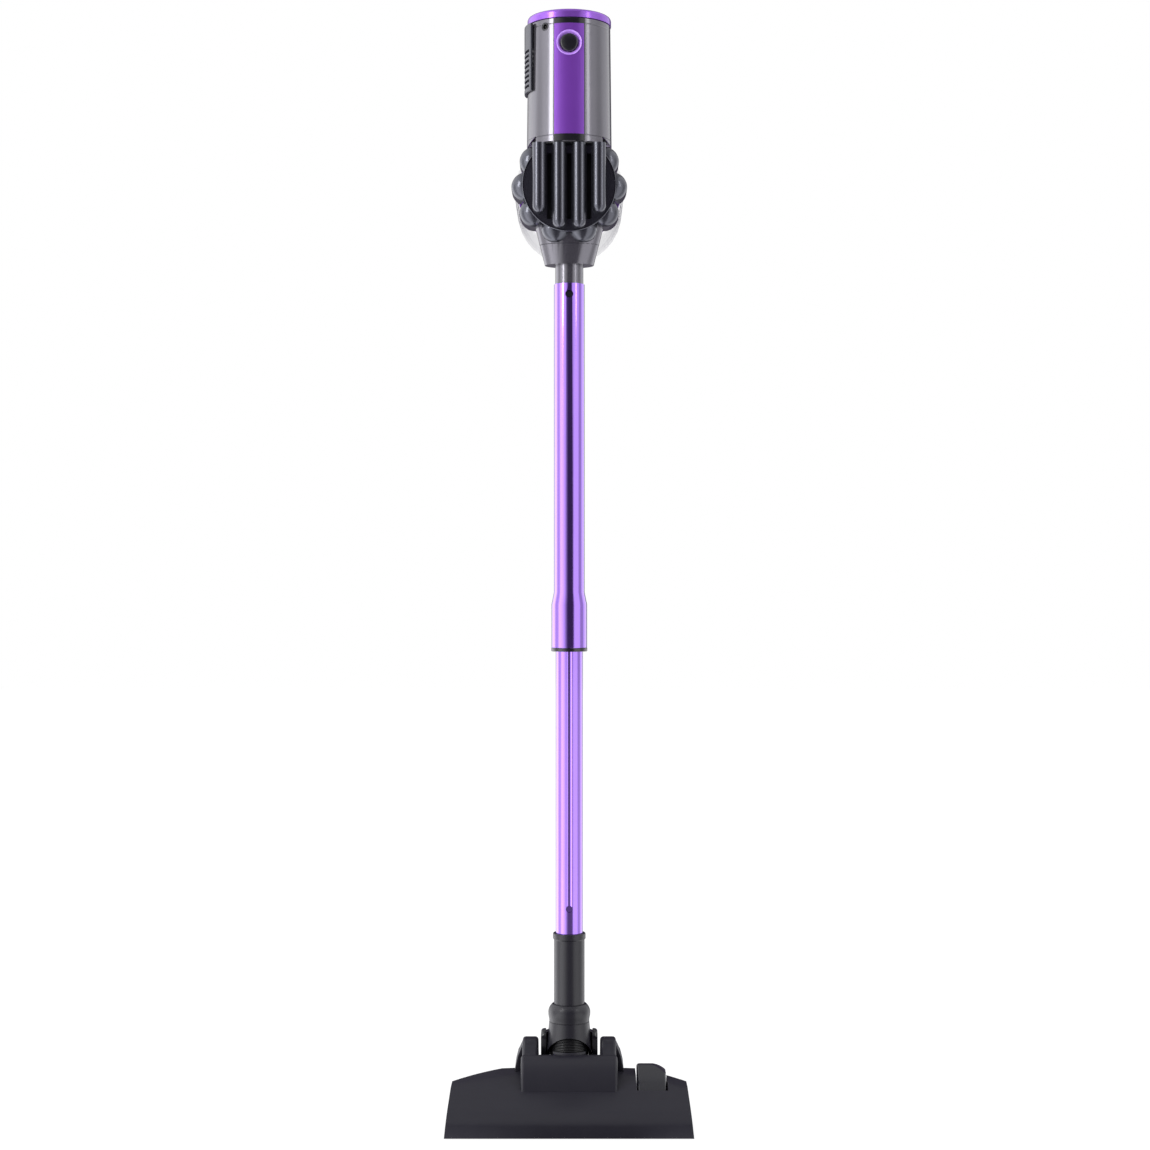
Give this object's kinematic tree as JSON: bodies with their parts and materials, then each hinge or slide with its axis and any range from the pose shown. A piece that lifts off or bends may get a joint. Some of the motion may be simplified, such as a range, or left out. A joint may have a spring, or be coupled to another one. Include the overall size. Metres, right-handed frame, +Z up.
{
  "type": "cordless stick vacuum",
  "caption": "Cordless stick vacuum with a floor head on a tilting neck, a telescopic wand and a hand unit with lobed cyclone, clear dust bin and loop handle.",
  "frame": {"origin": "on the floor under the wand's axis, at the foot of the sole plate", "axes": "+Z up along the wand, -Y to the front of the floor head, +X to the right seen from the front"},
  "size_m": [0.252, 0.227, 1.151],
  "materials": {
    "purple_tube": "gloss",
    "purple_trim": "satin",
    "housing_grey": "gloss",
    "charcoal_gloss": "gloss",
    "charcoal_satin": "satin",
    "black_gloss": "gloss",
    "clear_bin": "gloss",
    "rubber": "matte",
    "steel": "satin",
    "fan_metal": "satin",
    "board": "matte",
    "cell": "satin",
    "foam": "matte"
  },
  "bodies": {
    "floor_head": {"head_shell": "charcoal_satin", "hump": "charcoal_satin", "sole_plate": "charcoal_satin", "air_duct": "black_gloss", "pedal_pin": "steel", "hinge_pin_left": "steel", "hinge_pin_right": "steel"},
    "left_wheel": {"wheel_left": "rubber"},
    "right_wheel": {"wheel_right": "rubber"},
    "pedal": {"brush_pedal": "charcoal_gloss"},
    "brushes": {"brush_carrier": "charcoal_satin", "bristle_front": "rubber", "bristle_rear": "rubber"},
    "neck": {"yoke": "black_gloss", "collar": "charcoal_satin", "hose": "black_gloss"},
    "lower_wand": {"neck_tube": "charcoal_satin", "lower_tube": "purple_tube"},
    "upper_wand": {"upper_tube": "purple_tube", "sleeve_ring": "black_gloss", "lock_bush": "charcoal_satin"},
    "wand_lock": {"lock_button": "charcoal_satin"},
    "hand_unit": {"spigot": "housing_grey", "inlet_cone": "housing_grey", "motor_housing": "housing_grey", "front_stripe": "purple_trim", "exhaust_grille": "housing_grey", "top_ring": "purple_trim", "top_cap": "housing_grey", "control_board": "board", "power_switch": "black_gloss", "motor": "steel", "motor_mount": "charcoal_satin", "fan_shroud": "charcoal_satin", "handle_left": "charcoal_satin", "handle_right": "charcoal_satin", "grip_sleeve": "rubber", "battery_cell_1": "cell", "battery_cell_2": "cell", "battery_cell_3": "cell", "battery_cell_4": "cell", "handle_screw_1": "steel", "handle_screw_2": "steel", "button_bezel": "purple_trim", "charge_socket": "black_gloss", "cyclone_body": "charcoal_gloss", "cyclone_cones": "charcoal_satin", "shroud": "charcoal_gloss", "shroud_skirt": "purple_trim", "bin_seat_ring": "clear_bin", "filter_foam": "foam"},
    "snap_button": {"wand_button": "black_gloss"},
    "switch_button": {"power_button": "black_gloss"},
    "fan": {"fan_rotor": "fan_metal"},
    "front_cover": {"filter_cover": "charcoal_gloss"},
    "bin": {"dust_bin": "clear_bin", "door_pin": "steel"},
    "bin_lid": {"bin_door": "clear_bin"},
    "lid_latch": {"door_latch": "housing_grey"},
    "bin_release": {"bin_button": "purple_trim"}
  },
  "joints": [
    {"name": "wheel_left_roll", "type": "hinge", "parent": "floor_head", "child": "left_wheel", "pos_m": [-0.0445, 0.038, 0.014], "axis": [1, 0, 0], "continuous": true},
    {"name": "wheel_right_roll", "type": "hinge", "parent": "floor_head", "child": "right_wheel", "pos_m": [0.0445, 0.038, 0.014], "axis": [1, 0, 0], "continuous": true},
    {"name": "pedal_rock", "type": "hinge", "parent": "floor_head", "child": "pedal", "pos_m": [0.0856, -0.014, 0.027], "axis": [-1, 0, 0], "range_deg": [0, 8]},
    {"name": "brush_drop", "type": "slide", "parent": "floor_head", "child": "brushes", "axis": [0, 0, 1], "range_m": [-0.005, 0]},
    {"name": "neck_tilt", "type": "hinge", "parent": "floor_head", "child": "neck", "pos_m": [0, 0.004, 0.052], "axis": [-1, 0, 0], "range_deg": [0, 80], "deforming": ["hose"]},
    {"name": "neck_swivel", "type": "hinge", "parent": "neck", "child": "lower_wand", "pos_m": [0, 0, 0.1], "axis": [0, 0, 1], "range_deg": [-90, 90]},
    {"name": "telescope", "type": "slide", "parent": "lower_wand", "child": "upper_wand", "axis": [0, 0, 1], "range_m": [-0.25, 0]},
    {"name": "lock_press", "type": "slide", "parent": "upper_wand", "child": "wand_lock", "axis": [0, -1, 0], "range_m": [0, 0.0015], "stiffness_N_per_m": 400, "springref_m": -0.001},
    {"name": "hand_unit_pull", "type": "slide", "parent": "upper_wand", "child": "hand_unit", "axis": [0, 0, 1], "range_m": [0, 0.06]},
    {"name": "snap_press", "type": "slide", "parent": "hand_unit", "child": "snap_button", "axis": [0, 1, 0], "range_m": [0, 0.002], "stiffness_N_per_m": 400, "springref_m": -0.001},
    {"name": "power_press", "type": "slide", "parent": "hand_unit", "child": "switch_button", "axis": [0, 1, 0], "range_m": [0, 0.0012], "stiffness_N_per_m": 600, "springref_m": -0.001},
    {"name": "fan_spin", "type": "hinge", "parent": "hand_unit", "child": "fan", "pos_m": [0, 0, 1.05], "axis": [0, 0, 1], "continuous": true},
    {"name": "cover_pull", "type": "slide", "parent": "hand_unit", "child": "front_cover", "axis": [0, -1, 0], "range_m": [0, 0.04]},
    {"name": "bin_pull", "type": "slide", "parent": "hand_unit", "child": "bin", "axis": [0, 1, 0], "range_m": [0, 0.12]},
    {"name": "door_swing", "type": "hinge", "parent": "bin", "child": "bin_lid", "pos_m": [0, 0.1325, 0.9113], "axis": [-1, 0, 0], "range_deg": [0, 100]},
    {"name": "latch_lift", "type": "hinge", "parent": "bin", "child": "lid_latch", "pos_m": [0, 0.12, 1.0327], "axis": [1, 0, 0], "range_deg": [0, 10], "stiffness_Nm_per_rad": 0.2, "springref_deg": -5.73},
    {"name": "bin_release_slide", "type": "slide", "parent": "hand_unit", "child": "bin_release", "axis": [0, -1, 0], "range_m": [0, 0.003], "stiffness_N_per_m": 400, "springref_m": -0.001}
  ],
  "couplings": [
    {"joint": "brush_drop", "follows": "pedal_rock", "m_per_rad": -0.0358}
  ]
}
